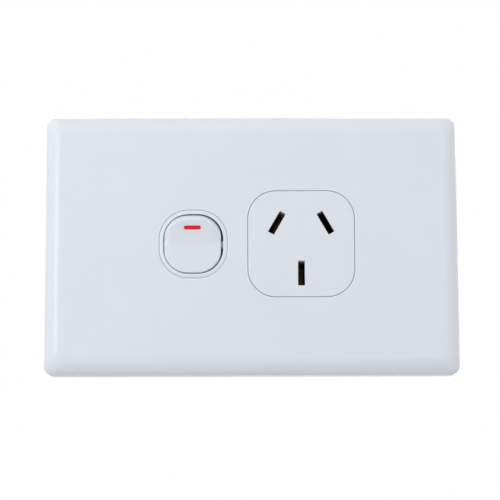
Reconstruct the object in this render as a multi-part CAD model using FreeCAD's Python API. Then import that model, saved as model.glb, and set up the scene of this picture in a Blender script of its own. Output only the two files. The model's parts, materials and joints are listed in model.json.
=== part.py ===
import FreeCAD, Part
import math
import os

from FreeCAD import Vector

# A single switched power point for a wall box, in millimetres.
# X runs to the right as the front is seen, Y runs into the wall and Z runs up.
# The origin lies on the wall plane, midway between the two fixing slots.

# Cover plate
PLATE_W = 118.2
PLATE_H = 74.5
PLATE_PROJECTION = 9.5
PLATE_CORNER_R = 3.0
PLATE_EDGE_R = 5.0
PLATE_EDGE_STEPS = 7
PLATE_DRAFT = 0.3
COVER_SIDE_WALL = 2.2
COVER_FRONT_WALL = 2.0
COVER_CAVITY_R = 2.5
COLLAR_WALL = 1.2
COLLAR_DEPTH = 2.2
HOOK_X = 30.0
HOOK_W = 8.0
HOOK_REACH = 1.1
HOOK_FRONT_Y = -2.2
HOOK_BACK_Y = -0.9
HOOK_SIDE_ROOM = 0.6
POST_R = 2.0
POST_X = 50.0
POST_Z = 29.0
PRISE_NOTCH_W = 8.0
PRISE_NOTCH_DEPTH = 1.0
COVER_CAVITY_EDGE_R = 2.2

# Mounting plate
MOUNT_FIT = 0.3
WEB_THICKNESS = 2.0
WEB_BACK_Y = -2.5
RIM_WALL = 1.8
FIXING_CENTRES = 84.0
FIXING_SLOT_W = 4.5
FIXING_SLOT_L = 7.0
PAD_W = 16.0
PAD_H = 12.0
RIB_WALL = 1.2
RIB_Z = 25.0
BOSS_R = 2.6

# Socket face and the three pins that it takes
SOCKET_X = 14.07
SOCKET_SIZE = 30.0
SOCKET_CORNER_R = 7.85
SOCKET_GAP = 0.12
SOCKET_FRONT_WALL = 2.2
SOCKET_SIDE_WALL = 2.0
SOCKET_EDGE_R = 0.3
PIN_CIRCLE_Z = 1.96
LINE_PIN_R = 7.92
LINE_PIN_LEAN = 30.0
EARTH_PIN_DROP = 10.31
LINE_SLOT_L = 6.8
EARTH_SLOT_L = 7.0
SLOT_W = 1.9
SLOT_LAND = 1.0
SLOT_RELIEF = 0.5
SHROUD_WALL = 0.9
SHROUD_ROOM = 0.3

# Switch ring and rocker
SWITCH_X = -16.6
RING_WALL = 1.15
RING_GAP = 0.06
RING_CROWN_W = 0.8
RING_CROWN_LEAN = 35.0
RING_CROWN_STEPS = 4
RING_INNER_EDGE_R = 0.25
RING_OPENING_EDGE_R = 0.4
RING_LIP = 0.45
RING_RELIEF = 0.65
RING_FLANGE_WALL = 1.4
ROCKER_SIZE = 16.05
ROCKER_CORNER_R = 6.65
ROCKER_GAP = 0.42
ROCKER_SIDE_PLAY = 0.2
ROCKER_TILT = 7.5
ROCKER_SKIRT = 3.0
ROCKER_WALL = 1.3
ROCKER_FACE_WALL = 1.9
ROCKER_EDGE_R = 0.5
ROCKER_SHOULDER_W = 2.6
ROCKER_SHOULDER_R = 4.0
ROCKER_SHOULDER_TOP_SHARE = 0.5
ROCKER_BLEND = 1.6
ROCKER_PATCH_MARGIN = 0.8
ROCKER_GRID = 25
BARREL_POINTS = 8
PIVOT_DEPTH = 3.0
TRUNNION_R = 1.2
TRUNNION_REACH = 1.55
RUNNING_FIT = 0.08
SNAP_SLOT_W = 2.3
INDICATOR_L = 4.8
INDICATOR_W = 1.1
INDICATOR_Z = 4.5
INDICATOR_DEPTH = 0.9

# Sprung plunger in the rocker's stem
STEM_R = 2.6
STEM_LENGTH = 8.0
PLUNGER_R = 1.6
PLUNGER_TAIL = 4.3
SPRING_WIRE_R = 0.2
SPRING_TURNS = 5
SPRING_END_GAP = 0.05
SPRING_SEAT = 0.4

# Rocking contact and its fixed partner
SEESAW_FACE_Y = 5.9
SEESAW_L = 20.0
SEESAW_W = 5.0
SEESAW_THICKNESS = 1.0
SEESAW_TILT = 7.0
KNUCKLE_R = 1.2
KNUCKLE_Y = 7.3
CRADLE_FRONT_Y = 7.65
CRADLE_H = 4.8
TIP_Z = 8.2
TIP_R = 1.6
TIP_THICKNESS = 0.6
FIXED_TIP_R = 1.8
FIXED_TIP_DOME_R = 6.0
CONTACT_CLEARANCE = 0.1
MIDWAY_CLEARANCE = 0.06

# Strips, pin clips and terminals
STRIP_Y = 9.4
STRIP_THICKNESS = 0.8
STRIP_END_Z = 1.0
STRAP_W = 6.0
TAIL_W = 5.0
CLIP_THICKNESS = 0.6
CLIP_W = 6.2
CLIP_GRIP = 1.2
CLIP_BASE = 2.4
CLIP_MOUTH = 3.0
CLIP_GRIP_Y = -1.5
LINE_CLIP_MOUTH_Y = -4.6
EARTH_CLIP_MOUTH_Y = -5.6
BLOCK_W = 7.5
BLOCK_L = 10.0
BLOCK_H = 8.5
BLOCK_TOP_Z = -7.0
TERMINAL_PITCH = 14.0
TUNNEL_R = 2.75
TUNNEL_DROP = 3.75
SCREW_R = 1.75
SCREW_REST_GAP = 0.2
SCREW_TRAVEL = 3.0
SCREW_HEAD_R = 2.6
SCREW_HEAD_H = 1.9
SCREW_SLOT_W = 0.8
SCREW_SLOT_DEPTH = 1.0
SCREW_TIP_CHAMFER = 0.45
SCREW_CHANNEL_R = 2.9

# Rear housing
HOUSING_X = 1.0
HOUSING_W = 64.0
HOUSING_H = 42.0
HOUSING_WALL = 1.8
HOUSING_CORNER_R = 3.0
HOUSING_REAR_EDGE_R = 1.2
POCKET_FIT = 0.1
POCKET_WALL = 1.2
ARM_ROOM = 0.2
WIRE_FUNNEL = 0.8
CORNER_POST_R = 3.4
CORNER_POST_INSET = 3.4
COUNTERBORE_R = 2.5
SEAT_DEPTH = 5.5
FIXING_HOLE_R = 1.5
FIXING_SCREW_R = 1.25
FIXING_PILOT_R = 1.3
FIXING_HEAD_R = 2.2
FIXING_HEAD_H = 1.5
FIXING_BITE = 3.8
FIXING_CROSS_R = 1.5
DIVIDER_X = -4.2

# How deep a rib is rooted in its wall, how far a cut runs past a face, and what counts as touching
ROOT = 0.9
PAST = 1.0
TOUCH = 0.01

# Places worked out from the sizes above
FRONT_Y = -PLATE_PROJECTION
COVER_INNER_Y = FRONT_Y + COVER_FRONT_WALL
CAVITY_W = PLATE_W - 2 * COVER_SIDE_WALL
CAVITY_H = PLATE_H - 2 * COVER_SIDE_WALL
MOUNT_W = CAVITY_W - 2 * MOUNT_FIT
MOUNT_H = CAVITY_H - 2 * MOUNT_FIT
WEB_FRONT_Y = WEB_BACK_Y - WEB_THICKNESS
SOCKET_INNER_Y = FRONT_Y + SOCKET_FRONT_WALL
SOCKET_INNER = SOCKET_SIZE - 2 * SOCKET_SIDE_WALL
SOCKET_INNER_R = SOCKET_CORNER_R - SOCKET_SIDE_WALL
RING_X = SWITCH_X + ROCKER_SIDE_PLAY
RING_INNER = ROCKER_SIZE + 2 * ROCKER_GAP
RING_INNER_R = ROCKER_CORNER_R + ROCKER_GAP
RING_SIZE = RING_INNER + 2 * RING_WALL
RING_CORNER_R = RING_INNER_R + RING_WALL
PIVOT_Y = FRONT_Y + PIVOT_DEPTH
PLUNGER_BORE_R = PLUNGER_R + RUNNING_FIT
STEM_END_Y = PIVOT_Y + STEM_LENGTH
NOSE_Y = SEESAW_FACE_Y - PLUNGER_R - MIDWAY_CLEARANCE
TAIL_Y = PIVOT_Y + PLUNGER_TAIL
SEESAW_BACK_Y = SEESAW_FACE_Y + SEESAW_THICKNESS
STRIP_BACK_Y = STRIP_Y + STRIP_THICKNESS
BLOCK_BACK_Y = STRIP_BACK_Y + BLOCK_L
BLOCK_FLOOR_Z = BLOCK_TOP_Z - BLOCK_H
TUNNEL_Z = BLOCK_TOP_Z - TUNNEL_DROP
STRIP_FOOT_Z = BLOCK_FLOOR_Z + STRIP_END_Z
SCREW_Y = STRIP_BACK_Y + BLOCK_L / 2
SCREW_TIP_Z = TUNNEL_Z - TUNNEL_R - SCREW_REST_GAP
SCREW_SEAT_Z = BLOCK_FLOOR_Z - SCREW_REST_GAP - SCREW_TRAVEL
HOUSING_BACK_Y = BLOCK_BACK_Y + HOUSING_WALL
HOUSING_FLOOR_Z = -HOUSING_H / 2
SHROUD_BACK_Y = STRIP_Y - SHROUD_ROOM
FIXING_SEAT_Y = WEB_BACK_Y + SEAT_DEPTH

TERMINALS = {
    "active": -1.5 * TERMINAL_PITCH,
    "loop": -0.5 * TERMINAL_PITCH,
    "earth": 0.5 * TERMINAL_PITCH,
    "neutral": 1.5 * TERMINAL_PITCH,
}


def pin_place(side):
    """Centre and lean of a line pin's slot: side -1 is the left one, 1 the right one."""
    angle = math.radians(90 - LINE_PIN_LEAN)
    x = SOCKET_X + side * LINE_PIN_R * math.sin(angle)
    z = PIN_CIRCLE_Z + LINE_PIN_R * math.cos(angle)
    return x, z, -side * LINE_PIN_LEAN


PINS = {
    "active": pin_place(-1),
    "neutral": pin_place(1),
    "earth": (SOCKET_X, PIN_CIRCLE_Z - EARTH_PIN_DROP, 0.0),
}


def corners(x, z, width, height):
    """The four corners of a rectangle about x and z."""
    return [(x + i * width / 2, z + j * height / 2) for i in (-1, 1) for j in (-1, 1)]


def outline(x, z, width, height, corner_r, y):
    """A rounded rectangle in the plane y, as a closed wire."""
    edges = []
    last = None
    for start in (0, 90, 180, 270):
        middle = math.radians(start + 45)
        cx = x + math.copysign(width / 2 - corner_r, math.cos(middle))
        cz = z + math.copysign(height / 2 - corner_r, math.sin(middle))
        points = []
        for angle in (start, start + 45, start + 90):
            across = corner_r * math.cos(math.radians(angle))
            up = corner_r * math.sin(math.radians(angle))
            points.append(Vector(cx + across, y, cz + up))
        if last:
            edges.append(Part.makeLine(last, points[0]))
        edges.append(Part.Arc(*points).toShape())
        last = points[2]
    edges.append(Part.makeLine(last, edges[0].Vertexes[0].Point))
    return Part.Wire(edges)


def rounded_block(x, z, width, height, corner_r, y_front, y_back):
    """A block with corners rounded in the front view, from y_front back to y_back."""
    face = Part.Face(outline(x, z, width, height, corner_r, y_front))
    return face.extrude(Vector(0, y_back - y_front, 0))


def drafted_block(width, height, corner_r, draft, y_front, y_back):
    """A rounded block about the Y axis that narrows on all sides by the draft towards its front."""
    depth = y_back - y_front
    straight_w = width - 2 * corner_r
    straight_h = height - 2 * corner_r
    parts = []
    for x, z in corners(0, 0, straight_w, straight_h):
        parts.append(Part.makeCone(corner_r, corner_r - draft, depth, Vector(x, y_back, z), Vector(0, -1, 0)))
    for half, across, way in (
        (height / 2, Vector(0, 0, 1), Vector(straight_w, 0, 0)),
        (width / 2, Vector(1, 0, 0), Vector(0, 0, straight_h)),
    ):
        back = Vector(0, y_back, 0) - way / 2
        front = Vector(0, y_front, 0) - way / 2
        near = across * half
        far = across * (half - draft)
        section = Part.makePolygon([back - near, front - far, front + far, back + near, back - near])
        parts.append(Part.Face(section).extrude(way))
    return parts[0].fuse(parts[1:]).removeSplitter()


def block(x, z, width, height, y_front, y_back):
    """A plain block about x and z, from y_front back to y_back."""
    corner = Vector(x - width / 2, y_front, z - height / 2)
    return Part.makeBox(width, y_back - y_front, height, corner)


def rod(x, z, radius, y_front, y_back):
    """A round rod along Y."""
    return Part.makeCylinder(radius, y_back - y_front, Vector(x, y_front, z), Vector(0, 1, 0))


def slot(x, z, length, width, y_front, y_back):
    """A slot shape with round ends, long along X."""
    straight = length - width
    ends = [rod(x + side * straight / 2, z, width / 2, y_front, y_back) for side in (-1, 1)]
    return block(x, z, straight, width, y_front, y_back).fuse(ends).removeSplitter()


def front_edges(shape, y):
    """The edges of a shape that lie wholly in the plane y."""
    return [e for e in shape.Edges if abs(e.BoundBox.YMin - y) < TOUCH and e.BoundBox.YLength < TOUCH]


def edges_round(shape, y, x, reach):
    """The edges in the plane y that lie no further than reach from a point on the X axis."""
    near = []
    for edge in front_edges(shape, y):
        box = edge.BoundBox
        far = max(box.XMax - x, x - box.XMin, box.ZMax, -box.ZMin)
        if far < reach + TOUCH:
            near.append(edge)
    return near


def leaning(shape, place):
    """A shape made about the Y axis, moved to a pin's place and leant over with it."""
    x, z, lean = place
    moved = shape.copy()
    moved.rotate(Vector(0, 0, 0), Vector(0, 1, 0), lean)
    moved.translate(Vector(x, 0, z))
    return moved


def cover_openings():
    """The two holes in the cover: a close one for the socket face, one for the switch ring."""
    socket = SOCKET_SIZE + 2 * SOCKET_GAP
    ring = RING_SIZE + 2 * RING_GAP
    socket_r = SOCKET_CORNER_R + SOCKET_GAP
    ring_r = RING_CORNER_R + RING_GAP
    return [
        (SOCKET_X, socket, socket_r, SOCKET_EDGE_R),
        (RING_X, ring, ring_r, RING_OPENING_EDGE_R),
    ]


def cover_form():
    """The cover before it is hollowed: drafted sides and a wide front rounding with tight corners."""
    turn_y = FRONT_Y + PLATE_EDGE_R
    sides = drafted_block(PLATE_W, PLATE_H, PLATE_CORNER_R, PLATE_DRAFT, turn_y, 0)
    sections = []
    for k in range(PLATE_EDGE_STEPS + 1):
        angle = math.radians(90 * k / PLATE_EDGE_STEPS)
        inset = PLATE_DRAFT + PLATE_EDGE_R * (1 - math.cos(angle))
        width = PLATE_W - 2 * inset
        height = PLATE_H - 2 * inset
        y = turn_y - PLATE_EDGE_R * math.sin(angle)
        sections.append(outline(0, 0, width, height, PLATE_CORNER_R - PLATE_DRAFT, y))
    return sides.fuse(Part.makeLoft(sections, True)).removeSplitter()


def cover_plate():
    """The moulded cover, a shell clipped over the mounting plate."""
    shell = cover_form()
    cavity = rounded_block(0, 0, CAVITY_W, CAVITY_H, COVER_CAVITY_R, COVER_INNER_Y, 0)
    cavity = cavity.makeFillet(COVER_CAVITY_EDGE_R, front_edges(cavity, COVER_INNER_Y))
    shell = shell.cut(cavity)
    for x, size, corner_r, edge_r in cover_openings():
        shell = shell.cut(rounded_block(x, 0, size, size, corner_r, FRONT_Y - PAST, 0))
        shell = shell.makeFillet(edge_r, edges_round(shell, FRONT_Y, x, size / 2))
    return shell.fuse(cover_fittings()).cut(prise_notch()).removeSplitter()


def cover_fittings():
    """What stands inside the cover: the socket collar, four snap hooks and six posts."""
    hole = SOCKET_SIZE + 2 * SOCKET_GAP
    outer = hole + 2 * COLLAR_WALL
    hole_r = SOCKET_CORNER_R + SOCKET_GAP
    end_y = COVER_INNER_Y + COLLAR_DEPTH
    collar = rounded_block(SOCKET_X, 0, outer, outer, hole_r + COLLAR_WALL, COVER_INNER_Y, end_y)
    collar = collar.cut(rounded_block(SOCKET_X, 0, hole, hole, hole_r, COVER_INNER_Y, end_y))
    parts = [collar]
    for x, z in corners(0, 0, 2 * HOOK_X, CAVITY_H - HOOK_REACH):
        parts.append(block(x, z, HOOK_W, HOOK_REACH, HOOK_FRONT_Y, HOOK_BACK_Y))
    for x, z in corners(0, 0, 2 * POST_X, 2 * POST_Z) + [(0, -POST_Z), (0, POST_Z)]:
        parts.append(rod(x, z, POST_R, COVER_INNER_Y, WEB_FRONT_Y))
    return Part.makeCompound(parts)


def prise_notch():
    """The notch at the top where a screwdriver lifts the cover off."""
    top = PLATE_H / 2 - COVER_SIDE_WALL / 2
    return block(0, top, PRISE_NOTCH_W, 2 * COVER_SIDE_WALL, -PRISE_NOTCH_DEPTH, PAST)


def pin_slots():
    """The three slots through the socket face, each relieved behind: a longer one for the earth pin."""
    land_y = FRONT_Y + SLOT_LAND
    relief = 2 * SLOT_RELIEF
    cuts = []
    for name, place in PINS.items():
        length = EARTH_SLOT_L if name == "earth" else LINE_SLOT_L
        way_in = block(0, 0, SLOT_W, length, FRONT_Y - PAST, SOCKET_INNER_Y + PAST)
        behind = block(0, 0, SLOT_W + relief, length + relief, land_y, SOCKET_INNER_Y)
        cuts.append(leaning(way_in.fuse(behind), place))
    return cuts


def shroud(place, outer):
    """The tube behind a slot that keeps its contact clip apart, solid or as its bore."""
    wall = SHROUD_WALL if outer else 0
    width = CLIP_MOUTH + 2 * CLIP_THICKNESS + 2 * SHROUD_ROOM + 2 * wall
    height = CLIP_W + 2 * SHROUD_ROOM + 2 * wall
    return leaning(block(0, 0, width, height, SOCKET_INNER_Y, SHROUD_BACK_Y), place)


def socket_face():
    """The raised square that the plug meets, hollow behind, with its contact shrouds."""
    face = rounded_block(SOCKET_X, 0, SOCKET_SIZE, SOCKET_SIZE, SOCKET_CORNER_R, FRONT_Y, WEB_BACK_Y)
    face = face.makeFillet(SOCKET_EDGE_R, front_edges(face, FRONT_Y))
    inner = SOCKET_INNER
    face = face.cut(rounded_block(SOCKET_X, 0, inner, inner, SOCKET_INNER_R, SOCKET_INNER_Y, WEB_BACK_Y))
    face = face.fuse([shroud(place, True) for place in PINS.values()])
    return face.cut([shroud(place, False) for place in PINS.values()] + pin_slots())


def ring_crown():
    """The front of the switch ring, which falls away in a shallow curve towards the cover."""
    lean = math.radians(RING_CROWN_LEAN)
    curve_r = RING_CROWN_W / math.sin(lean)
    sections = []
    for k in range(RING_CROWN_STEPS + 1):
        angle = lean * k / RING_CROWN_STEPS
        inset = RING_CROWN_W - curve_r * math.sin(angle)
        y = FRONT_Y + curve_r * (1 - math.cos(angle))
        size = RING_SIZE - 2 * inset
        sections.append(outline(RING_X, 0, size, size, RING_CORNER_R - inset, y))
    return Part.makeLoft(sections, True)


def switch_ring():
    """The rounded ring round the rocker, with a thicker flange behind the cover."""
    ring = ring_crown()
    turn_y = ring.BoundBox.YMax
    ring = ring.fuse(rounded_block(RING_X, 0, RING_SIZE, RING_SIZE, RING_CORNER_R, turn_y, WEB_BACK_Y))
    ring = ring.cut(rounded_block(RING_X, 0, RING_INNER, RING_INNER, RING_INNER_R, FRONT_Y, WEB_BACK_Y))
    ring = ring.makeFillet(RING_INNER_EDGE_R, edges_round(ring, FRONT_Y, RING_X, RING_INNER / 2))
    flange = RING_SIZE + 2 * RING_FLANGE_WALL
    flange_r = RING_CORNER_R + RING_FLANGE_WALL
    flange_y = COVER_INNER_Y + RING_GAP
    return ring.fuse(rounded_block(RING_X, 0, flange, flange, flange_r, flange_y, WEB_BACK_Y))


def rocker_well():
    """The room in the ring that the rocker swings in, with its two snap-in bearings.

    The rocker sits to the left of the ring's middle by its side play.
    """
    lip_y = FRONT_Y + RING_LIP
    wide = RING_INNER + ROCKER_SIDE_PLAY
    tall = RING_INNER + 2 * RING_RELIEF
    well = rounded_block(RING_X, 0, RING_INNER, RING_INNER, RING_INNER_R, FRONT_Y - PAST, lip_y)
    behind = rounded_block(RING_X, 0, wide, tall, RING_INNER_R, lip_y, WEB_BACK_Y)
    reach = ROCKER_SIZE + 2 * (TRUNNION_REACH + 2 * RUNNING_FIT)
    start = Vector(SWITCH_X - reach / 2, PIVOT_Y, 0)
    bearing = Part.makeCylinder(TRUNNION_R + RUNNING_FIT, reach, start, Vector(1, 0, 0))
    snap_in = block(SWITCH_X, 0, reach, SNAP_SLOT_W, PIVOT_Y, WEB_BACK_Y)
    return well.fuse([behind, bearing, snap_in])


def fixing_slot(x):
    """One wall screw slot, longer along X so that the plate can be levelled."""
    return slot(x, 0, FIXING_SLOT_L, FIXING_SLOT_W, WEB_FRONT_Y, 0)


def housing_fixings():
    """Where the four housing screws stand, seen from the front."""
    across = HOUSING_W - 2 * CORNER_POST_INSET
    upright = HOUSING_H - 2 * CORNER_POST_INSET
    return corners(HOUSING_X, 0, across, upright)


def mounting_plate():
    """The plate screwed to the wall box: web, rim, pads, ribs, socket face and switch ring."""
    plate = rounded_block(0, 0, MOUNT_W, MOUNT_H, COVER_CAVITY_R, WEB_FRONT_Y, 0)
    inside_w = MOUNT_W - 2 * RIM_WALL
    inside_h = MOUNT_H - 2 * RIM_WALL
    plate = plate.cut(block(0, 0, inside_w, inside_h, WEB_BACK_Y, 0))
    added = [socket_face(), switch_ring()]
    for side in (-1, 1):
        x = side * FIXING_CENTRES / 2
        added.append(rounded_block(x, 0, PAD_W, PAD_H, POST_R, WEB_FRONT_Y, 0))
        added.append(block(0, side * RIB_Z, inside_w, RIB_WALL, WEB_BACK_Y, 0))
        added.append(block(x, 0, RIB_WALL, inside_h, WEB_BACK_Y, 0))
    for x, z in housing_fixings():
        added.append(rod(x, z, BOSS_R, COVER_INNER_Y + MOUNT_FIT, WEB_BACK_Y))
    room = SOCKET_INNER
    plate = plate.cut(rounded_block(SOCKET_X, 0, room, room, SOCKET_INNER_R, WEB_FRONT_Y, WEB_BACK_Y))
    plate = plate.fuse(added).cut(rocker_well())
    cuts = [fixing_slot(-FIXING_CENTRES / 2), fixing_slot(FIXING_CENTRES / 2)]
    for x, z in housing_fixings():
        cuts.append(rod(x, z, FIXING_PILOT_R, WEB_BACK_Y - FIXING_BITE - MOUNT_FIT, WEB_BACK_Y))
    notch_w = HOOK_W + 2 * HOOK_SIDE_ROOM
    for x, z in corners(0, 0, 2 * HOOK_X, MOUNT_H - HOOK_REACH):
        cuts.append(block(x, z, notch_w, HOOK_REACH, HOOK_FRONT_Y - POCKET_FIT, 0))
    return plate.cut(cuts).removeSplitter()


def rocker_front():
    """Everything behind the rocker's moulded front, with the rocker pressed in at the bottom.

    The lower half lies flush with the ring. The upper half leans out of it, with round shoulders.
    """
    slope = math.tan(math.radians(2 * ROCKER_TILT))
    reach = ROCKER_SIZE / 2 + ROCKER_PATCH_MARGIN
    straight = ROCKER_SIZE / 2 - ROCKER_CORNER_R
    flat_r = ROCKER_CORNER_R - ROCKER_SHOULDER_W
    rows = []
    for i in range(ROCKER_GRID):
        z = -reach + 2 * reach * i / (ROCKER_GRID - 1)
        share = (1 + z / math.hypot(z, ROCKER_BLEND)) / 2
        ramp = slope * (z + math.hypot(z, ROCKER_BLEND)) / 2
        up = ROCKER_SHOULDER_TOP_SHARE * max(z - straight, 0)
        row = []
        for j in range(ROCKER_GRID):
            x = -reach + 2 * reach * j / (ROCKER_GRID - 1)
            past = max(math.hypot(max(abs(x) - straight, 0), up) - flat_r, 0)
            drop = ROCKER_SHOULDER_R - math.sqrt(max(ROCKER_SHOULDER_R ** 2 - past ** 2, 0))
            row.append(Vector(SWITCH_X + x, FRONT_Y - ramp + share * drop, z))
        rows.append(row)
    front = Part.BSplineSurface()
    front.interpolate(rows)
    return front.toShape().extrude(Vector(0, PLATE_PROJECTION + STEM_LENGTH, 0))


def rocker_barrel(size, corner_r):
    """A rounded square turned about the pivot, so that its outline at the ring stays as it swings."""
    half = size / 2
    centre = half - corner_r
    points = [Vector(SWITCH_X, PIVOT_Y - math.hypot(half, PIVOT_DEPTH), 0)]
    for k in range(BARREL_POINTS + 1):
        angle = math.radians(90 - 90 * k / BARREL_POINTS)
        x = centre + corner_r * math.cos(angle)
        radius = math.hypot(centre + corner_r * math.sin(angle), PIVOT_DEPTH)
        points.append(Vector(SWITCH_X + x, PIVOT_Y - radius, 0))
    flank = Part.BSplineCurve()
    flank.interpolate(points[1:])
    end = Vector(SWITCH_X + half, PIVOT_Y, 0)
    middle = Vector(SWITCH_X, PIVOT_Y, 0)
    edges = [Part.makeLine(points[0], points[1]), flank.toShape(), Part.makeLine(points[-1], end)]
    edges += [Part.makeLine(end, middle), Part.makeLine(middle, points[0])]
    right = Part.Face(Part.Wire(edges)).revolve(middle, Vector(1, 0, 0), 360)
    left = right.mirror(middle, Vector(1, 0, 0))
    return right.fuse(left).removeSplitter()


def at_rest(shape):
    """A rocker piece made midway, tipped to rest with its lower half pressed in."""
    tipped = shape.copy()
    tipped.rotate(Vector(SWITCH_X, PIVOT_Y, 0), Vector(1, 0, 0), ROCKER_TILT)
    return tipped


def rocker_body():
    """The rocker before its inlay: hollow cap, two trunnions and a bored stem."""
    skirt_y = PIVOT_Y + ROCKER_SKIRT
    ceiling_y = FRONT_Y + ROCKER_FACE_WALL
    wide = 2 * ROCKER_SIZE
    cap = rocker_barrel(ROCKER_SIZE, ROCKER_CORNER_R)
    cap = cap.common(block(SWITCH_X, 0, wide, wide, FRONT_Y - ROCKER_SIZE, skirt_y))
    inner = ROCKER_SIZE - 2 * ROCKER_WALL
    inner_r = ROCKER_CORNER_R - ROCKER_WALL
    cap = cap.cut(rounded_block(SWITCH_X, 0, inner, inner, inner_r, ceiling_y, skirt_y))
    pins = []
    for side in (-1, 1):
        start = Vector(SWITCH_X + side * (ROCKER_SIZE / 2 - ROCKER_WALL), PIVOT_Y, 0)
        length = ROCKER_WALL + TRUNNION_REACH
        pins.append(Part.makeCylinder(TRUNNION_R, length, start, Vector(side, 0, 0)))
    stem = rod(SWITCH_X, 0, STEM_R, ceiling_y, STEM_END_Y)
    bore = rod(SWITCH_X, 0, PLUNGER_BORE_R, PIVOT_Y - SPRING_SEAT, STEM_END_Y)
    body = at_rest(cap.fuse(pins + [stem]).cut(bore))
    body = body.common(rocker_front())
    spline_faces = [f for f in body.Faces if f.Surface.TypeId == "Part::GeomBSplineSurface"]
    front = max(spline_faces, key=lambda face: face.Area)
    return body.makeFillet(ROCKER_EDGE_R, front.OuterWire.Edges)


def indicator_room():
    """The bar-shaped pocket in the rocker's upper half."""
    lean = 2 * ROCKER_TILT
    bar = slot(0, 0, INDICATOR_L, INDICATOR_W, -PLATE_PROJECTION, INDICATOR_DEPTH)
    bar.rotate(Vector(0, 0, 0), Vector(1, 0, 0), lean)
    surface_y = FRONT_Y - INDICATOR_Z * math.tan(math.radians(lean))
    bar.translate(Vector(SWITCH_X, surface_y, INDICATOR_Z))
    return bar


def rocker():
    """The switch rocker, pressed in at the bottom."""
    return rocker_body().cut(indicator_room())


def indicator_strip():
    """The red bar moulded into the rocker, seen while the switch is on."""
    return rocker_body().common(indicator_room())


def plunger():
    """The round-nosed plunger that slides in the rocker's stem."""
    shaft = rod(SWITCH_X, 0, PLUNGER_R, TAIL_Y, NOSE_Y)
    nose = Part.makeSphere(PLUNGER_R, Vector(SWITCH_X, NOSE_Y, 0))
    return at_rest(shaft.fuse(nose)).removeSplitter()


def plunger_spring():
    """The coil spring between the bottom of the stem's bore and the plunger, with closed end turns.

    Each half turn is an arc that leans by its rise, so the arcs meet smoothly on either side.
    """
    coil_r = PLUNGER_R - SPRING_WIRE_R
    room = PLUNGER_TAIL + SPRING_SEAT - 2 * SPRING_WIRE_R
    closed = 2 * SPRING_WIRE_R + SPRING_END_GAP
    open_pitch = (room - 2 * closed) / SPRING_TURNS
    y = PIVOT_Y - SPRING_SEAT + SPRING_WIRE_R
    side = 1
    halves = []
    for pitch in 2 * [closed] + 2 * SPRING_TURNS * [open_pitch] + 2 * [closed]:
        rise = pitch / 2
        start = Vector(SWITCH_X + side * coil_r, y, 0)
        wire = Part.Face(Part.Wire(Part.makeCircle(SPRING_WIRE_R, start, Vector(0, 0, 1))))
        middle = Vector(SWITCH_X, y + rise / 2, 0)
        halves.append(wire.revolve(middle, Vector(side * rise, 2 * coil_r, 0), 180))
        y += rise
        side = -side
    return at_rest(halves[0].fuse(halves[1:]))


def switched_on(shape):
    """A rocking contact piece made midway, tipped until its upper end is closed."""
    tipped = shape.copy()
    tipped.rotate(Vector(SWITCH_X, KNUCKLE_Y, 0), Vector(1, 0, 0), -SEESAW_TILT)
    return tipped


def moving_contact():
    """The rocking contact: a flat strip on a half-round knuckle."""
    strip = block(SWITCH_X, 0, SEESAW_W, SEESAW_L, SEESAW_FACE_Y, SEESAW_BACK_Y)
    start = Vector(SWITCH_X - SEESAW_W / 2, KNUCKLE_Y, 0)
    knuckle = Part.makeCylinder(KNUCKLE_R, SEESAW_W, start, Vector(1, 0, 0))
    knuckle = knuckle.cut(block(SWITCH_X, 0, SEESAW_W, SEESAW_L, SEESAW_FACE_Y - SEESAW_L, SEESAW_FACE_Y))
    return switched_on(strip.fuse(knuckle)).removeSplitter()


def moving_contact_tip():
    """The silver disc on the rocking contact's upper end."""
    return switched_on(rod(SWITCH_X, TIP_Z, TIP_R, SEESAW_BACK_Y, SEESAW_BACK_Y + TIP_THICKNESS))


def fixed_contact_tip():
    """The domed silver tip that the moving one closes on."""
    tilt = math.radians(SEESAW_TILT)
    offset = SEESAW_BACK_Y + TIP_THICKNESS - KNUCKLE_Y
    face_y = KNUCKLE_Y + offset * math.cos(tilt) + TIP_Z * math.sin(tilt)
    dome_y = face_y + (FIXED_TIP_DOME_R + CONTACT_CLEARANCE) / math.cos(tilt)
    dome = Part.makeSphere(FIXED_TIP_DOME_R, Vector(SWITCH_X, dome_y, TIP_Z))
    return dome.common(rod(SWITCH_X, TIP_Z, FIXED_TIP_R, face_y, STRIP_Y))


def switch_strap():
    """The strap that feeds the rocking contact, with the cradle that its knuckle turns in."""
    x = TERMINALS["active"]
    top = CRADLE_H / 2
    middle = (top + STRIP_FOOT_Z) / 2
    strap = block(x, middle, STRAP_W, top - STRIP_FOOT_Z, STRIP_Y, STRIP_BACK_Y)
    left = x - STRAP_W / 2
    right = SWITCH_X + SEESAW_W / 2
    arm = block((left + right) / 2, 0, right - left, CRADLE_H, STRIP_Y, STRIP_BACK_Y)
    cradle = block(SWITCH_X, 0, SEESAW_W, CRADLE_H, CRADLE_FRONT_Y, STRIP_Y)
    start = Vector(SWITCH_X - SEESAW_W / 2, KNUCKLE_Y, 0)
    groove = Part.makeCylinder(KNUCKLE_R + RUNNING_FIT, SEESAW_W, start, Vector(1, 0, 0))
    return strap.fuse([arm, cradle]).cut(groove).removeSplitter()


def bent_strip(points, thickness, width):
    """A strip of even thickness bent along points (x, y), lying to the left of the way they run."""
    ahead = [Vector(b[0] - a[0], b[1] - a[1], 0).normalize() for a, b in zip(points, points[1:])]
    far = []
    for k, (x, y) in enumerate(points):
        before = ahead[max(k - 1, 0)]
        after = ahead[min(k, len(ahead) - 1)]
        normal = Vector(-before.y - after.y, before.x + after.x, 0)
        mitre = 2 * thickness / normal.Length ** 2
        far.append(Vector(x, y, -width / 2) + normal * mitre)
    near = [Vector(x, y, -width / 2) for x, y in points]
    ring = near + far[::-1]
    return Part.Face(Part.makePolygon(ring + [ring[0]])).extrude(Vector(0, 0, width))


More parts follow.
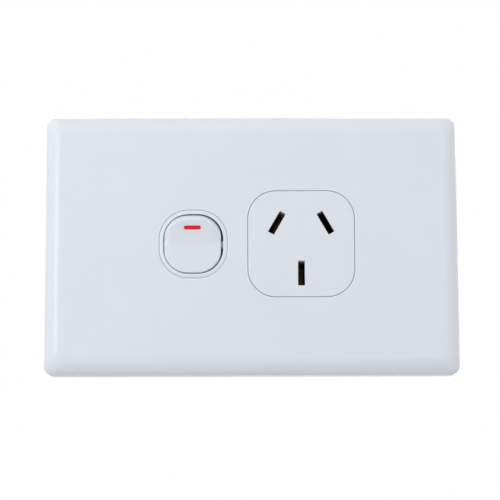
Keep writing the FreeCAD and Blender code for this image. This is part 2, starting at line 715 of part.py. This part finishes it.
def pin_clip(place, mouth_y):
    """A folded spring clip that grips one pin: two leaves that near each other, then flare."""
    base = CLIP_BASE / 2
    grip = CLIP_GRIP / 2
    mouth = CLIP_MOUTH / 2
    left = [(-mouth, mouth_y), (-grip, CLIP_GRIP_Y), (-base, STRIP_Y)]
    right = [(-x, y) for x, y in reversed(left)]
    return leaning(bent_strip(left + right, CLIP_THICKNESS, CLIP_W), place)


def active_contact():
    """The active clip with the arm that carries the fixed switch tip."""
    x, z = PINS["active"][:2]
    left = SWITCH_X - SEESAW_W / 2
    arm = block((left + x) / 2, TIP_Z, x - left, SEESAW_W, STRIP_Y, STRIP_BACK_Y)
    base = rod(x, z, CLIP_W / 2, STRIP_Y, STRIP_BACK_Y)
    return pin_clip(PINS["active"], LINE_CLIP_MOUTH_Y).fuse([arm, base]).removeSplitter()


def neutral_contact():
    """The neutral clip with its tail down to the neutral terminal."""
    x, z = PINS["neutral"][:2]
    tail = block(x, (z + STRIP_FOOT_Z) / 2, TAIL_W, z - STRIP_FOOT_Z, STRIP_Y, STRIP_BACK_Y)
    base = rod(x, z, CLIP_W / 2, STRIP_Y, STRIP_BACK_Y)
    return pin_clip(PINS["neutral"], LINE_CLIP_MOUTH_Y).fuse([tail, base]).removeSplitter()


def earth_contact():
    """The earth clip, which reaches further forward, with its tail to the earth terminal."""
    x, z = PINS["earth"][:2]
    left = TERMINALS["earth"] - TAIL_W / 2
    right = x + CLIP_BASE
    tail = block((left + right) / 2, z, right - left, CLIP_W, STRIP_Y, STRIP_BACK_Y)
    return pin_clip(PINS["earth"], EARTH_CLIP_MOUTH_Y).fuse(tail).removeSplitter()


def terminal(name):
    """A brass tunnel terminal: the wire goes in from behind and a screw clamps it from below."""
    x = TERMINALS[name]
    body = block(x, (BLOCK_TOP_Z + BLOCK_FLOOR_Z) / 2, BLOCK_W, BLOCK_H, STRIP_BACK_Y, BLOCK_BACK_Y)
    body = body.cut(rod(x, TUNNEL_Z, TUNNEL_R, STRIP_BACK_Y, BLOCK_BACK_Y))
    start = Vector(x, SCREW_Y, BLOCK_FLOOR_Z)
    thread = Part.makeCylinder(SCREW_R + RUNNING_FIT, TUNNEL_Z - BLOCK_FLOOR_Z, start, Vector(0, 0, 1))
    return body.cut(thread)


def terminal_screw(name):
    """A terminal screw backed off until the tunnel is clear."""
    x = TERMINALS[name]
    length = SCREW_TIP_Z - SCREW_SEAT_Z
    shank = Part.makeCylinder(SCREW_R, length, Vector(x, SCREW_Y, SCREW_SEAT_Z), Vector(0, 0, 1))
    tip = [e for e in shank.Edges if e.BoundBox.ZMin > SCREW_TIP_Z - TOUCH]
    shank = shank.makeChamfer(SCREW_TIP_CHAMFER, tip)
    head_z = SCREW_SEAT_Z - SCREW_HEAD_H
    head = Part.makeCylinder(SCREW_HEAD_R, SCREW_HEAD_H, Vector(x, SCREW_Y, head_z), Vector(0, 0, 1))
    wide = 2 * SCREW_HEAD_R
    corner = Vector(x - SCREW_HEAD_R, SCREW_Y - SCREW_SLOT_W / 2, head_z)
    driver_slot = Part.makeBox(wide, SCREW_SLOT_W, SCREW_SLOT_DEPTH, corner)
    return shank.fuse(head).removeSplitter().cut(driver_slot)


def terminal_pocket(name):
    """The walls that hold one terminal block in the housing, reaching its floor."""
    x = TERMINALS[name]
    width = BLOCK_W + 2 * (POCKET_FIT + POCKET_WALL)
    top = BLOCK_TOP_Z + POCKET_FIT + POCKET_WALL
    floor = HOUSING_FLOOR_Z + HOUSING_WALL - ROOT
    return block(x, (top + floor) / 2, width, top - floor, STRIP_BACK_Y, BLOCK_BACK_Y)


def terminal_room(name):
    """What is cut for one terminal: the block's room, the wire hole and the screw channel."""
    x = TERMINALS[name]
    height = BLOCK_H + 2 * POCKET_FIT
    middle = (BLOCK_TOP_Z + BLOCK_FLOOR_Z) / 2
    room = block(x, middle, BLOCK_W + 2 * POCKET_FIT, height, STRIP_BACK_Y, BLOCK_BACK_Y)
    wire = rod(x, TUNNEL_Z, TUNNEL_R, BLOCK_BACK_Y, HOUSING_BACK_Y)
    mouth = Vector(x, HOUSING_BACK_Y - WIRE_FUNNEL, TUNNEL_Z)
    wide = TUNNEL_R + WIRE_FUNNEL
    funnel = Part.makeCone(TUNNEL_R, wide, WIRE_FUNNEL, mouth, Vector(0, 1, 0))
    start = Vector(x, SCREW_Y, HOUSING_FLOOR_Z)
    channel_l = BLOCK_FLOOR_Z - HOUSING_FLOOR_Z
    channel = Part.makeCylinder(SCREW_CHANNEL_R, channel_l, start, Vector(0, 0, 1))
    return room.fuse([wire, funnel, channel])


def divider_wall():
    """The wall between the switch and the socket's contacts, open where the active arm passes."""
    roof = HOUSING_H / 2 - HOUSING_WALL + ROOT
    foot = BLOCK_TOP_Z + POCKET_FIT
    wall = block(DIVIDER_X, (roof + foot) / 2, POCKET_WALL, roof - foot, WEB_BACK_Y, BLOCK_BACK_Y)
    way_h = SEESAW_W + 2 * ARM_ROOM
    return wall.cut(block(DIVIDER_X, TIP_Z, 2 * POCKET_WALL, way_h, WEB_BACK_Y, STRIP_BACK_Y))


def rear_housing():
    """The box behind the wall that holds the contacts, terminals and switch."""
    corner_r = HOUSING_CORNER_R
    shell = rounded_block(HOUSING_X, 0, HOUSING_W, HOUSING_H, corner_r, WEB_BACK_Y, HOUSING_BACK_Y)
    shell = shell.makeFillet(HOUSING_REAR_EDGE_R, front_edges(shell, HOUSING_BACK_Y))
    inner_w = HOUSING_W - 2 * HOUSING_WALL
    inner_h = HOUSING_H - 2 * HOUSING_WALL
    inner_r = corner_r - HOUSING_WALL
    shell = shell.cut(rounded_block(HOUSING_X, 0, inner_w, inner_h, inner_r, WEB_BACK_Y, BLOCK_BACK_Y))
    added = [terminal_pocket(name) for name in TERMINALS]
    for x, z in housing_fixings():
        added.append(rod(x, z, CORNER_POST_R, WEB_BACK_Y, BLOCK_BACK_Y))
    added.append(divider_wall())
    for x, z in [PINS["active"][:2], PINS["neutral"][:2], (SWITCH_X, TIP_Z)]:
        added.append(block(x, z, POCKET_WALL, SEESAW_W, STRIP_BACK_Y, BLOCK_BACK_Y))
        added.append(block(x, z, SEESAW_W, POCKET_WALL, STRIP_BACK_Y, BLOCK_BACK_Y))
    cuts = [terminal_room(name) for name in TERMINALS]
    for x, z in housing_fixings():
        cuts.append(rod(x, z, COUNTERBORE_R, FIXING_SEAT_Y, HOUSING_BACK_Y))
        cuts.append(rod(x, z, FIXING_HOLE_R, WEB_BACK_Y, FIXING_SEAT_Y))
    return shell.fuse(added).cut(cuts).removeSplitter()


def housing_screws():
    """The four screws that pull the housing up to the mounting plate."""
    screws = []
    for x, z in housing_fixings():
        shank = rod(x, z, FIXING_SCREW_R, WEB_BACK_Y - FIXING_BITE, FIXING_SEAT_Y)
        head_y = FIXING_SEAT_Y + FIXING_HEAD_H
        head = rod(x, z, FIXING_HEAD_R, FIXING_SEAT_Y, head_y)
        floor_y = head_y - SCREW_SLOT_DEPTH
        wide = 2 * FIXING_HEAD_R
        cross = block(x, z, SCREW_SLOT_W, wide, floor_y, head_y)
        cross = cross.fuse(block(x, z, wide, SCREW_SLOT_W, floor_y, head_y))
        recess = cross.common(rod(x, z, FIXING_CROSS_R, floor_y, head_y))
        screws.append(shank.fuse(head).removeSplitter().cut(recess))
    return Part.makeCompound(screws)


def build():
    """Every node of the power point by its name."""
    nodes = {
        "cover_plate": cover_plate(),
        "mounting_plate": mounting_plate(),
        "rear_housing": rear_housing(),
        "housing_screws": housing_screws(),
        "rocker": rocker(),
        "indicator_strip": indicator_strip(),
        "plunger": plunger(),
        "plunger_spring": plunger_spring(),
        "moving_contact": moving_contact(),
        "moving_contact_tip": moving_contact_tip(),
        "fixed_contact_tip": fixed_contact_tip(),
        "switch_strap": switch_strap(),
        "active_contact": active_contact(),
        "neutral_contact": neutral_contact(),
        "earth_contact": earth_contact(),
    }
    for name in TERMINALS:
        nodes[name + "_terminal"] = terminal(name)
        nodes[name + "_terminal_screw"] = terminal_screw(name)
    return nodes


for node, shape in build().items():
    shape.exportStep(os.path.join("parts", node + ".step"))
    print(node, "solids", len(shape.Solids), "valid", shape.isValid(), "volume", round(shape.Volume, 1))
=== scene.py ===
import json
import math

import bpy
from mathutils import Matrix, Vector


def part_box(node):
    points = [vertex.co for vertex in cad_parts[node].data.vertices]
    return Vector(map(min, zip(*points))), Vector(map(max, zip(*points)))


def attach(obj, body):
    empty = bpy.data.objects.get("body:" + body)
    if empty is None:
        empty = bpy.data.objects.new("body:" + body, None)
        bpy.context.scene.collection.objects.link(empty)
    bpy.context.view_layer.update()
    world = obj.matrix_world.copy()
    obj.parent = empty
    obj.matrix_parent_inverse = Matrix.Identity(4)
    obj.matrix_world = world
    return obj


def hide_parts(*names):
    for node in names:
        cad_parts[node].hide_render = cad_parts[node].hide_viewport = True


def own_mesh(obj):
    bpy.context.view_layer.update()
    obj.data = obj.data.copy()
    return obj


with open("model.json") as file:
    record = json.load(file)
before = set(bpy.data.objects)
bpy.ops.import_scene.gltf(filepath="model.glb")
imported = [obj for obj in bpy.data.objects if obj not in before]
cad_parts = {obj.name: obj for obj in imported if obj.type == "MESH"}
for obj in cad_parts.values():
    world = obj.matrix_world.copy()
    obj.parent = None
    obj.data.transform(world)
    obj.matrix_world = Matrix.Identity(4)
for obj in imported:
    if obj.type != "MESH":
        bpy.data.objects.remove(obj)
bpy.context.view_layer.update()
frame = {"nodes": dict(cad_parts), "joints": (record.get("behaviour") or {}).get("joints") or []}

MM = 0.001
MICRON = MM * MM

# The camera, set so that the plate's outline and the three slots lie where the photograph has them
PLATE_FRONT_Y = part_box("cover_plate")[0].y
CAMERA_AIM = Vector((-0.4 * MM, PLATE_FRONT_Y, -1.8 * MM))
CAMERA_DISTANCE = 384 * MM
CAMERA_PITCH = -6.36
CAMERA_YAW = 0.21
CAMERA_ROLL = -0.17
SENSOR_W = 36.0
LENS = 98.1
CLIP_START = 0.01
CLIP_END = 20

# The floor and the surround
FLOOR_Z = -120 * MM
FLOOR_R = 500 * MM
FLOOR_SIDES = 96
FLOOR_CLEAR_R = 160 * MM
FLOOR_WHITE_R = 450 * MM
FLOOR_COLOUR = (0.74, 0.75, 0.76, 1)
SURROUND_COLOUR = (0.95, 0.97, 1.0, 1)
SURROUND_BRIGHT_WAY = Vector((0, -0.985, 0.17))
SURROUND_HIGH = 0.979
SURROUND_LOW = 0.345
WHITE = (1, 1, 1, 1)

# The lamps
KEY_PLACE = Vector((-0.353, -0.412, 0.055))
KEY_SIZE = 0.176
KEY_POWER = 0.34
SIDE_PLACE = Vector((-0.5, -0.165, 0.26))
SIDE_SIZE = 0.7
SIDE_POWER = 0.38
REAR_PLACE = Vector((0.5, 1.0, 0.6))
REAR_SIZE = 0.8
REAR_POWER = 3.0

# Plastic: its noises' scales, per metre, and how far they vary it
PLASTIC_IOR = 1.5
PLASTIC_CLOUD = 60
PLASTIC_CLOUD_ENDS = (0.35, 0.65)
PLASTIC_WAVES = 350
PLASTIC_GRAIN = 6000
PLASTIC_GLOSS = 900
PLASTIC_GLOSS_FACTORS = (0.88, 1.12)
SCATTER_RADIUS = (1.0, 1.0, 1.0)
WHITE_PLASTIC = {"colour": (0.825, 0.84, 0.885), "roughness": 0.24, "scatter": 0.4 * MM}

# Metal, in the same terms
METAL_CLOUD = 260
METAL_CLOUD_ROUGHNESS = 0.6
METAL_CLOUD_ENDS = (0.3, 0.6)
METAL_MARKS = 2400
METAL_MARKS_DEPTH = 3 * MICRON
METAL_GLOSS_FACTORS = (0.75, 1.3)

# A noise's usual lowest and highest value, and no stretch
NOISE_LOW = 0.3
NOISE_HIGH = 0.7
EVEN = (1, 1, 1)

# The plunger's coil spring
SPRING_WIRE_R = 0.2 * MM
SPRING_OPEN_TURNS = 5
SPRING_CLOSED_PITCH = 0.45 * MM
SPRING_END_ROOM = 0.02 * MM
SPRING_STEPS = 28
SPRING_WIRE_ROUNDNESS = 3
CREASE_ANGLE = 40

# The letters moulded over the wire holes
TERMINAL_LETTERS = {"active": "A", "loop": "L", "earth": "E", "neutral": "N"}
LETTER_SIZE = 4.4 * MM
LETTER_BOLD = 0.1 * MM
LETTER_RAISE = 0.2 * MM
LETTER_SLOPE = 0.2 * MM
LETTER_SLOPE_STEPS = 1
LETTER_GAP = 1.4 * MM


def place_in_scene(name, data):
    """A new object for some data, linked to the scene."""
    piece = bpy.data.objects.new(name, data)
    bpy.context.scene.collection.objects.link(piece)
    return piece


def make_camera():
    """The camera a little below the plate's middle, looking slightly up at it."""
    pitch = math.radians(CAMERA_PITCH)
    yaw = math.radians(CAMERA_YAW)
    roll = math.radians(CAMERA_ROLL)
    back = Vector((math.sin(yaw) * math.cos(pitch), -math.cos(yaw) * math.cos(pitch), math.sin(pitch)))
    level_right = (-back).cross(Vector((0, 0, 1))).normalized()
    level_up = level_right.cross(-back).normalized()
    right = level_right * math.cos(roll) + level_up * math.sin(roll)
    up = level_up * math.cos(roll) - level_right * math.sin(roll)
    data = bpy.data.cameras.new("photo_camera")
    data.sensor_width = SENSOR_W
    data.lens = LENS
    data.clip_start = CLIP_START
    data.clip_end = CLIP_END
    camera = place_in_scene("photo_camera", data)
    place = Matrix((right, up, back)).transposed().to_4x4()
    place.translation = CAMERA_AIM + back * CAMERA_DISTANCE
    camera.matrix_world = place
    bpy.context.scene.camera = camera


class Nodes:
    """The node tree of a material or a world, with short calls to add and join nodes."""

    def __init__(self, owner, output):
        owner.use_nodes = True
        self.owner = owner
        self.tree = owner.node_tree
        self.tree.nodes.clear()
        self.out = self.add(output)

    def add(self, kind, **values):
        """A new node, with some of its inputs or settings given by name."""
        node = self.tree.nodes.new(kind)
        for name, value in values.items():
            if name in node.inputs:
                node.inputs[name].default_value = value
            else:
                setattr(node, name, value)
        return node

    def join(self, source, target, name, output=0):
        self.tree.links.new(source.outputs[output], target.inputs[name])

    def place(self, scale=EVEN):
        """Object coordinates in metres, stretched by a scale."""
        where = self.add("ShaderNodeTexCoord")
        mapping = self.add("ShaderNodeMapping", Scale=scale)
        self.join(where, mapping, "Vector", "Object")
        return mapping

    def noise(self, where, scale, detail, roughness=0.5):
        node = self.add("ShaderNodeTexNoise", Scale=scale, Detail=detail, Roughness=roughness)
        self.join(where, node, "Vector")
        return node

    def ramp(self, source, low, high, ends):
        """Two colours spread between two values of a noise."""
        node = self.add("ShaderNodeValToRGB")
        for stop, position, colour in zip(node.color_ramp.elements, ends, (low, high)):
            stop.position = position
            stop.color = (*colour, 1)
        self.join(source, node, "Fac")
        return node

    def spread(self, source, low, high, start, end, output=0, **values):
        """A number that goes from low to high as the source's goes from start to end."""
        node = self.add("ShaderNodeMapRange", **values)
        node.inputs["From Min"].default_value = start
        node.inputs["From Max"].default_value = end
        node.inputs["To Min"].default_value = low
        node.inputs["To Max"].default_value = high
        self.join(source, node, "Value", output)
        return node

    def bump(self, source, distance, below=None):
        node = self.add("ShaderNodeBump", Strength=1.0, Distance=distance)
        self.join(source, node, "Height")
        if below:
            self.join(below, node, "Normal")
        return node

    def mix(self, factor, first, second):
        """A shader that goes from the first to the second with the factor."""
        node = self.add("ShaderNodeMixShader")
        self.join(factor, node, "Fac")
        self.join(first, node, 1)
        self.join(second, node, 2)
        return node

    def seen_rays(self):
        """1 for a ray that shows the surround itself: to the camera, in gloss or through glass."""
        path = self.add("ShaderNodeLightPath")
        seen, output = path, "Is Camera Ray"
        for kind in ("Is Glossy Ray", "Is Transmission Ray"):
            either = self.add("ShaderNodeMath", operation="MAXIMUM")
            self.join(seen, either, 0, output)
            self.join(path, either, 1, kind)
            seen, output = either, 0
        return seen

    def finish(self, shader):
        self.join(shader, self.out, "Surface")
        return self.owner


def material_nodes(name):
    return Nodes(bpy.data.materials.new(name), "ShaderNodeOutputMaterial")


def tint(colour, factor):
    return tuple(min(1.0, c * factor) for c in colour)


def plastic(name, colour, roughness, grain=1.5 * MICRON, variation=0.006, specular=0.5, scatter=0.0):
    """Moulded plastic: a faint cloudiness, a fine moulded grain and slightly uneven gloss."""
    n = material_nodes(name)
    where = n.place()
    cloud = n.noise(where, PLASTIC_CLOUD, detail=3)
    colours = n.ramp(cloud, tint(colour, 1 - variation), tint(colour, 1 + variation), PLASTIC_CLOUD_ENDS)
    fine = n.noise(where, PLASTIC_GRAIN, detail=2)
    soft = n.noise(where, PLASTIC_WAVES, detail=2)
    uneven = n.noise(where, PLASTIC_GLOSS, detail=3)
    low, high = (roughness * factor for factor in PLASTIC_GLOSS_FACTORS)
    gloss = n.spread(uneven, low, high, NOISE_LOW, NOISE_HIGH)
    bumps = n.bump(soft, grain, below=n.bump(fine, grain))
    shader = n.add("ShaderNodeBsdfPrincipled", IOR=PLASTIC_IOR)
    shader.inputs["Specular IOR Level"].default_value = specular
    if scatter:
        shader.inputs["Subsurface Weight"].default_value = 1.0
        shader.inputs["Subsurface Radius"].default_value = SCATTER_RADIUS
        shader.inputs["Subsurface Scale"].default_value = scatter
    n.join(colours, shader, "Base Color")
    n.join(gloss, shader, "Roughness")
    n.join(bumps, shader, "Normal")
    return n.finish(shader)


def metal(name, colour, dark, roughness, stretch=EVEN):
    """Worked metal: drawn or rolled marks along one way, cloudy tarnish and uneven gloss."""
    n = material_nodes(name)
    cloud = n.noise(n.place(), METAL_CLOUD, detail=4, roughness=METAL_CLOUD_ROUGHNESS)
    marks = n.noise(n.place(stretch), METAL_MARKS, detail=3)
    colours = n.ramp(cloud, dark, colour, METAL_CLOUD_ENDS)
    low, high = (roughness * factor for factor in METAL_GLOSS_FACTORS)
    gloss = n.spread(marks, low, high, NOISE_LOW, NOISE_HIGH)
    bumps = n.bump(marks, METAL_MARKS_DEPTH)
    shader = n.add("ShaderNodeBsdfPrincipled", Metallic=1.0)
    n.join(colours, shader, "Base Color")
    n.join(gloss, shader, "Roughness")
    n.join(bumps, shader, "Normal")
    return n.finish(shader)


def dress(material, *nodes):
    """Gives CAD nodes a material in each of their slots."""
    for name in nodes:
        mesh = frame["nodes"][name].data
        if not mesh.materials:
            mesh.materials.append(material)
        for k in range(len(mesh.materials)):
            mesh.materials[k] = material


def terminal_nodes(ending):
    """The four terminals' CAD nodes with one ending."""
    return [terminal + ending for terminal in TERMINAL_LETTERS]


def dress_plastics():
    """Dresses the plastic nodes, and gives the housing's plastic for its letters."""
    dress(plastic("white_plastic", **WHITE_PLASTIC), "cover_plate", "mounting_plate")
    dress(plastic("rocker_plastic", **WHITE_PLASTIC), "rocker")
    red = plastic("red_plastic", (0.80, 0.008, 0.018), roughness=0.28, variation=0.05, specular=0.3)
    dress(red, "indicator_strip")
    housing = plastic("housing_plastic", (0.74, 0.75, 0.77), roughness=0.5, grain=12 * MICRON)
    dress(housing, "rear_housing")
    dress(plastic("nylon", (0.80, 0.77, 0.68), roughness=0.42), "plunger")
    return housing


def dress_metals():
    """Dresses the metal nodes, and gives the spring's steel for its coil."""
    # Painted shade: the contact strips' phosphor bronze is darkened far below its own colour so that the
    # contacts seen through the slots look black; the cloud between its two colours is random tarnish.
    strip = metal(
        "copper_alloy", (0.24, 0.14, 0.075), dark=(0.11, 0.062, 0.035), roughness=0.42, stretch=(1, 1, 0.05)
    )
    dress(strip, "moving_contact", "switch_strap", "active_contact", "neutral_contact", "earth_contact")
    block = metal(
        "terminal_brass", (0.80, 0.64, 0.33), dark=(0.62, 0.47, 0.22), roughness=0.32, stretch=(1, 0.05, 1)
    )
    dress(block, *terminal_nodes("_terminal"))
    screw = metal(
        "screw_brass", (0.84, 0.70, 0.40), dark=(0.68, 0.53, 0.27), roughness=0.25, stretch=(1, 1, 0.2)
    )
    dress(screw, *terminal_nodes("_terminal_screw"))
    silver = metal("contact_silver", (0.88, 0.87, 0.84), dark=(0.72, 0.71, 0.68), roughness=0.22)
    dress(silver, "moving_contact_tip", "fixed_contact_tip")
    steel = metal("plated_steel", (0.74, 0.75, 0.77), dark=(0.60, 0.61, 0.63), roughness=0.27)
    dress(steel, "housing_screws")
    return metal("spring_steel", (0.62, 0.63, 0.65), dark=(0.45, 0.46, 0.48), roughness=0.25)


def as_mesh_piece(name, data, material):
    """A mesh object made from curve or text data, with smooth sides and sharp corners."""
    source = bpy.data.objects.new(name + "_source", data)
    mesh = bpy.data.meshes.new_from_object(source)
    bpy.data.objects.remove(source)
    mesh.name = name
    mesh.materials.clear()
    mesh.materials.append(material)
    mesh.shade_smooth()
    mesh.set_sharp_from_angle(angle=math.radians(CREASE_ANGLE))
    return place_in_scene(name, mesh)


def make_spring(material):
    """The plunger's spring as one wire with closed end turns."""
    joints = {joint["name"]: joint for joint in frame["joints"]}
    pivot = Vector(joints["rocker_tilt"]["pos_m"])
    slide = joints["plunger_slide"]
    stem = -Vector(slide["axis"]).normalized()
    side = Vector(joints["rocker_tilt"]["axis"]).normalized()
    up = stem.cross(side)
    node = frame["nodes"]["plunger_spring"]
    along = [(node.matrix_world @ vertex.co - pivot).dot(stem) for vertex in node.data.vertices]
    seat = pivot + stem * min(along)
    length = max(along) - min(along)
    low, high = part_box("plunger_spring")
    coil_r = (high.x - low.x) / 2 - SPRING_WIRE_R
    wire_run = length - SPRING_END_ROOM - 2 * SPRING_WIRE_R
    open_pitch = (wire_run - 2 * SPRING_CLOSED_PITCH) / SPRING_OPEN_TURNS
    pitches = [SPRING_CLOSED_PITCH] + SPRING_OPEN_TURNS * [open_pitch] + [SPRING_CLOSED_PITCH]
    path = bpy.data.curves.new("spring_path", "CURVE")
    path.dimensions = "3D"
    path.bevel_depth = SPRING_WIRE_R
    path.bevel_resolution = SPRING_WIRE_ROUNDNESS
    path.use_fill_caps = True
    wire = path.splines.new("POLY")
    wire.points.add(len(pitches) * SPRING_STEPS)
    rise = SPRING_WIRE_R
    for k, point in enumerate(wire.points):
        turn = math.radians(360 * k / SPRING_STEPS)
        place = seat + stem * rise + (side * math.cos(turn) + up * math.sin(turn)) * coil_r
        point.co = (*place, 1)
        rise += pitches[min(k // SPRING_STEPS, len(pitches) - 1)] / SPRING_STEPS
    spring = as_mesh_piece("coil_spring", path, material)
    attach(spring, "rocker")
    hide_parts("plunger_spring")
    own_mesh(spring)


def make_letters(material):
    """A raised letter with sloped sides over each wire hole in the housing's rear wall."""
    back_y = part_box("rear_housing")[1].y
    read_from_behind = Matrix.Rotation(math.pi, 4, "Z") @ Matrix.Rotation(math.pi / 2, 4, "X")
    for terminal, letter in TERMINAL_LETTERS.items():
        low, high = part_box(terminal + "_terminal")
        text = bpy.data.curves.new(terminal + "_letter_text", "FONT")
        text.body = letter
        text.size = LETTER_SIZE
        text.offset = LETTER_BOLD
        text.extrude = LETTER_RAISE
        text.bevel_depth = LETTER_SLOPE
        text.bevel_resolution = LETTER_SLOPE_STEPS
        text.align_x = "CENTER"
        piece = as_mesh_piece(terminal + "_letter", text, material)
        foot = ((low.x + high.x) / 2, back_y, high.z + LETTER_GAP)
        piece.matrix_world = Matrix.Translation(foot) @ read_from_behind
        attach(piece, "base")


def area_light(name, place, size, power):
    """A soft square lamp aimed at the middle of the plate's front."""
    data = bpy.data.lights.new(name, "AREA")
    data.shape = "SQUARE"
    data.size = size
    data.energy = power
    lamp = place_in_scene(name, data)
    lamp.location = place
    lamp.rotation_mode = "QUATERNION"
    lamp.rotation_quaternion = (Vector((0, PLATE_FRONT_Y, 0)) - place).to_track_quat("-Z", "Y")


def make_lights():
    """A small key lamp at the front left, a large soft one further left, and one for the hidden side."""
    area_light("key", KEY_PLACE, KEY_SIZE, KEY_POWER)
    area_light("side", SIDE_PLACE, SIDE_SIZE, SIDE_POWER)
    area_light("rear", REAR_PLACE, REAR_SIZE, REAR_POWER)


def make_world():
    """A pale surround, brightest in front and a little above, that the camera and mirrors see as white."""
    world = bpy.data.worlds.new("studio")
    bpy.context.scene.world = world
    n = Nodes(world, "ShaderNodeOutputWorld")
    where = n.add("ShaderNodeTexCoord")
    towards = n.add("ShaderNodeVectorMath", operation="DOT_PRODUCT")
    towards.inputs[1].default_value = SURROUND_BRIGHT_WAY
    n.join(where, towards, 0, "Generated")
    level = n.spread(towards, SURROUND_LOW, SURROUND_HIGH, -1.0, 1.0, "Value")
    soft = n.add("ShaderNodeBackground", Color=SURROUND_COLOUR)
    n.join(level, soft, "Strength")
    white = n.add("ShaderNodeBackground", Color=WHITE, Strength=1.0)
    n.finish(n.mix(n.seen_rays(), soft, white))


def make_floor():
    """A pale round floor under the plate that fades into the white surround."""
    bpy.ops.mesh.primitive_circle_add(
        vertices=FLOOR_SIDES, radius=FLOOR_R, fill_type="NGON", location=(0, 0, FLOOR_Z)
    )
    floor = bpy.context.object
    floor.name = "floor"
    n = material_nodes("floor")
    where = n.add("ShaderNodeTexCoord")
    length = n.add("ShaderNodeVectorMath", operation="LENGTH")
    n.join(where, length, 0, "Object")
    fade = n.spread(
        length, 0.0, 1.0, FLOOR_CLEAR_R, FLOOR_WHITE_R, "Value", interpolation_type="SMOOTHSTEP"
    )
    both = n.add("ShaderNodeMath", operation="MULTIPLY")
    n.join(fade, both, 0)
    n.join(n.seen_rays(), both, 1)
    matt = n.add("ShaderNodeBsdfDiffuse", Color=FLOOR_COLOUR)
    white = n.add("ShaderNodeEmission", Color=WHITE, Strength=1.0)
    floor.data.materials.append(n.finish(n.mix(both, matt, white)))


make_camera()
make_world()
make_floor()
make_lights()
housing_plastic = dress_plastics()
spring_steel = dress_metals()
make_spring(spring_steel)
make_letters(housing_plastic)
bpy.context.scene.view_settings.view_transform = "Standard"
